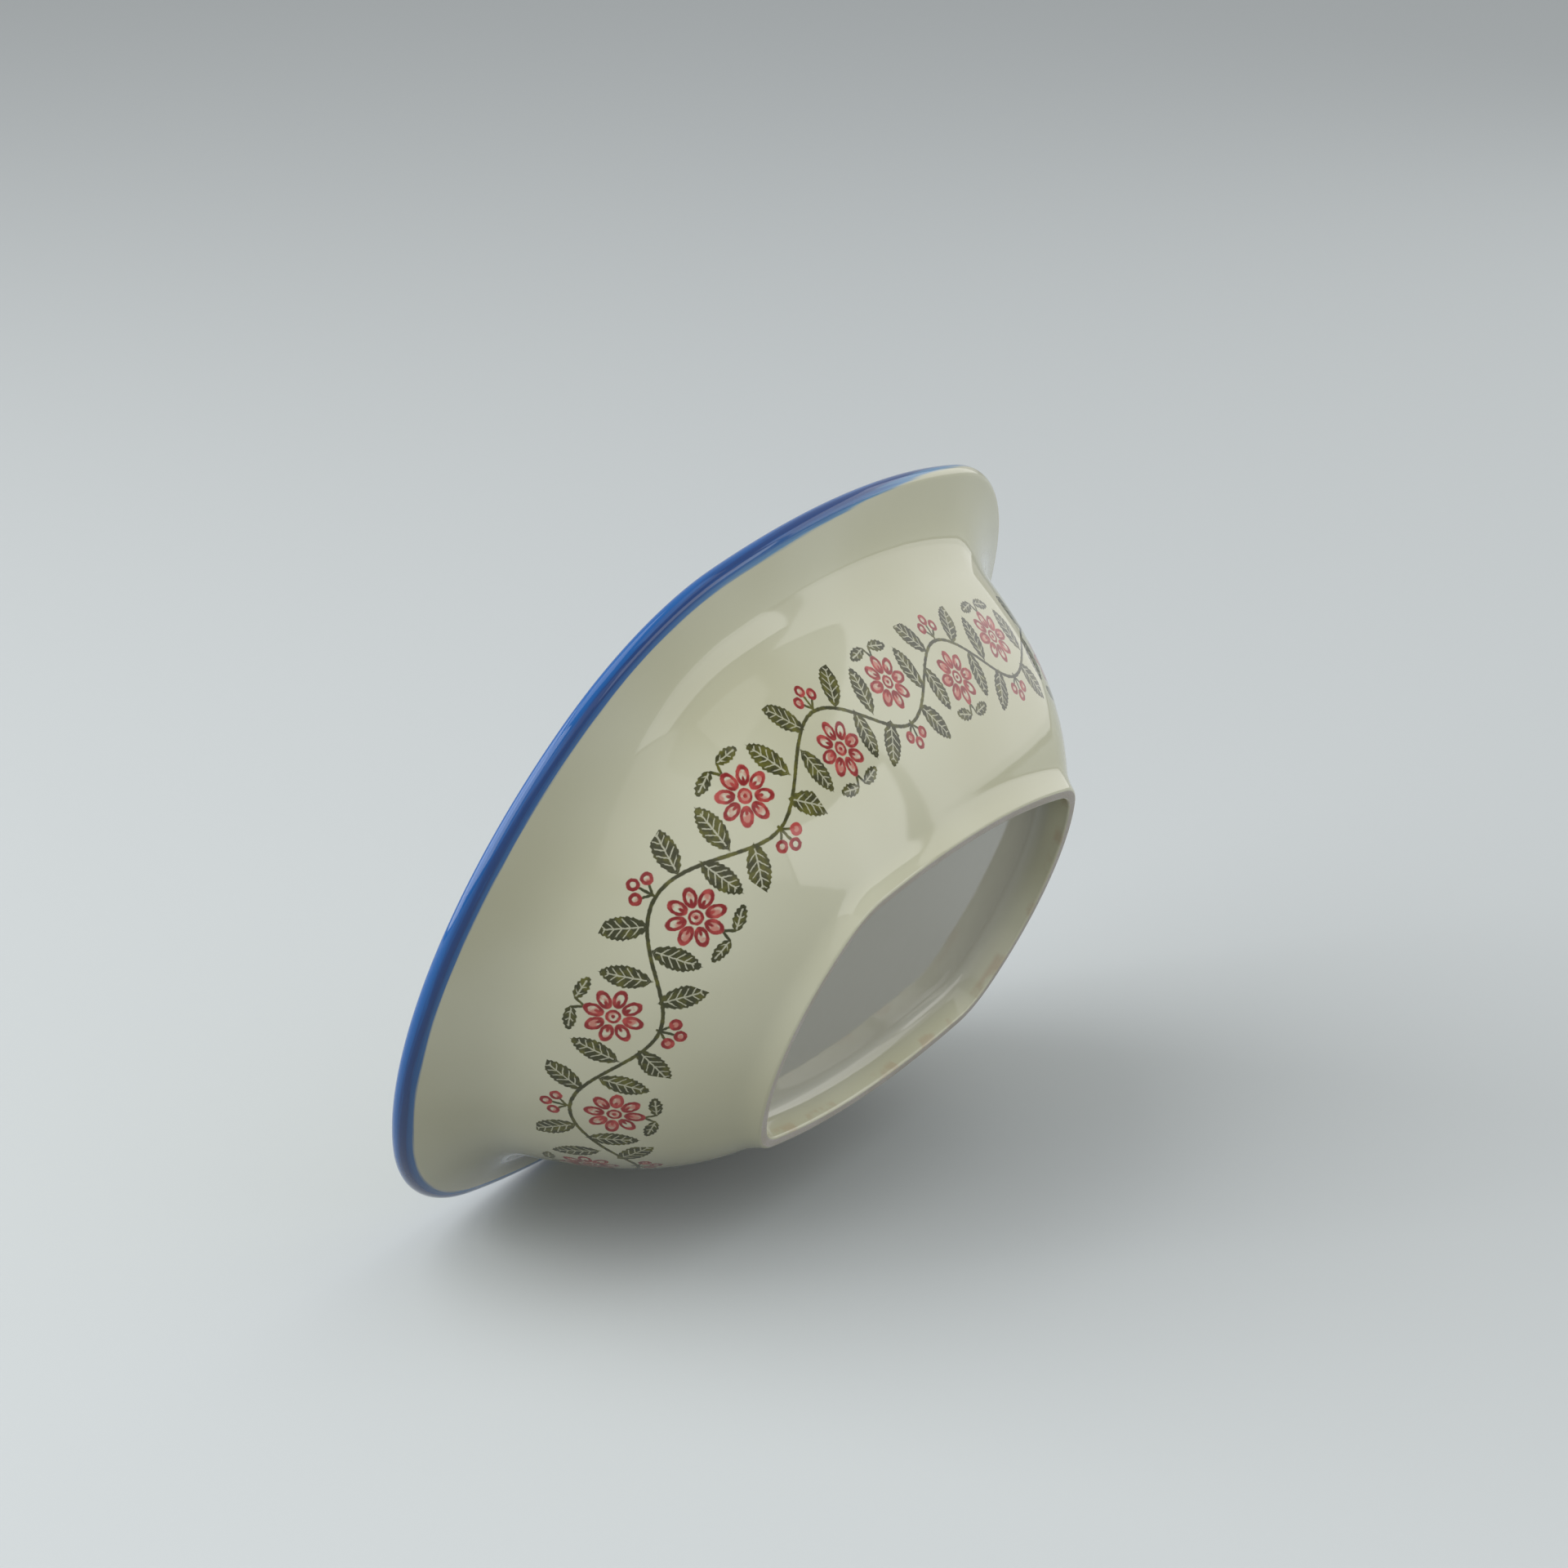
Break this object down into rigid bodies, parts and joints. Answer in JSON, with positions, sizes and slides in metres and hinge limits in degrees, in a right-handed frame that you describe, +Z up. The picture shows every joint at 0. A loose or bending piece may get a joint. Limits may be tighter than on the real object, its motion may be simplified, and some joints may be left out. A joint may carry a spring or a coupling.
{
  "type": "pie dish",
  "caption": "Oval earthenware pie dish: deep flared wall, broad rim with a rounded lip and a low foot ring, for baking and serving pies.",
  "frame": {"origin": "centre of the oval, on the plane that the foot ring stands on", "axes": "+Z up out of the open mouth, +X along the dish's length, +Y across its width"},
  "size_m": [0.3, 0.235, 0.081],
  "materials": {
    "glazed_earthenware": "gloss glaze over cream earthenware, blue painted lip, red and green flower band"
  },
  "bodies": {
    "root": {"dish": "glazed_earthenware"}
  },
  "joints": []
}
